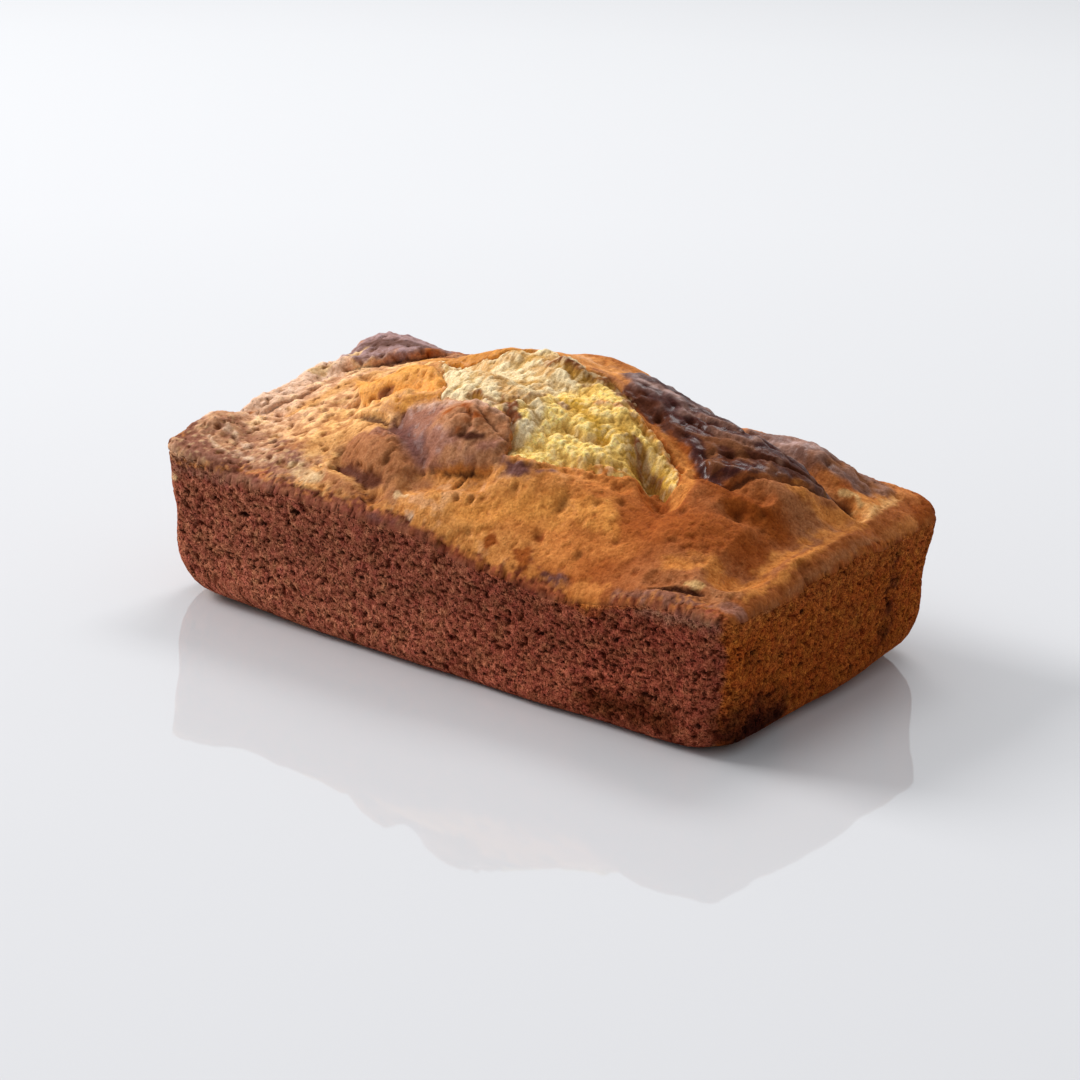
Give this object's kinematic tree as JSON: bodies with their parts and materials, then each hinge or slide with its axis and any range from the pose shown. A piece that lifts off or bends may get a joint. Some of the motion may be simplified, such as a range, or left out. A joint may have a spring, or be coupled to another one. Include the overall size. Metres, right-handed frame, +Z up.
{
  "type": "marble loaf cake",
  "caption": "Uncut marbled loaf cake with straight tin-shaped walls, round corners and a domed, folded crust torn open along a crack.",
  "frame": {"origin": "middle of the flat base, on the surface that the loaf stands on", "axes": "+X along the loaf's length, +Y across it towards its back, +Z up"},
  "size_m": [0.23, 0.129, 0.0899],
  "materials": {
    "baked_crumb": "baked sponge: brown chocolate crumb on the sides, golden and chocolate crust on the dome, yellow torn crumb in the crack"
  },
  "bodies": {
    "root": {"marble_loaf": "baked_crumb"}
  },
  "joints": []
}
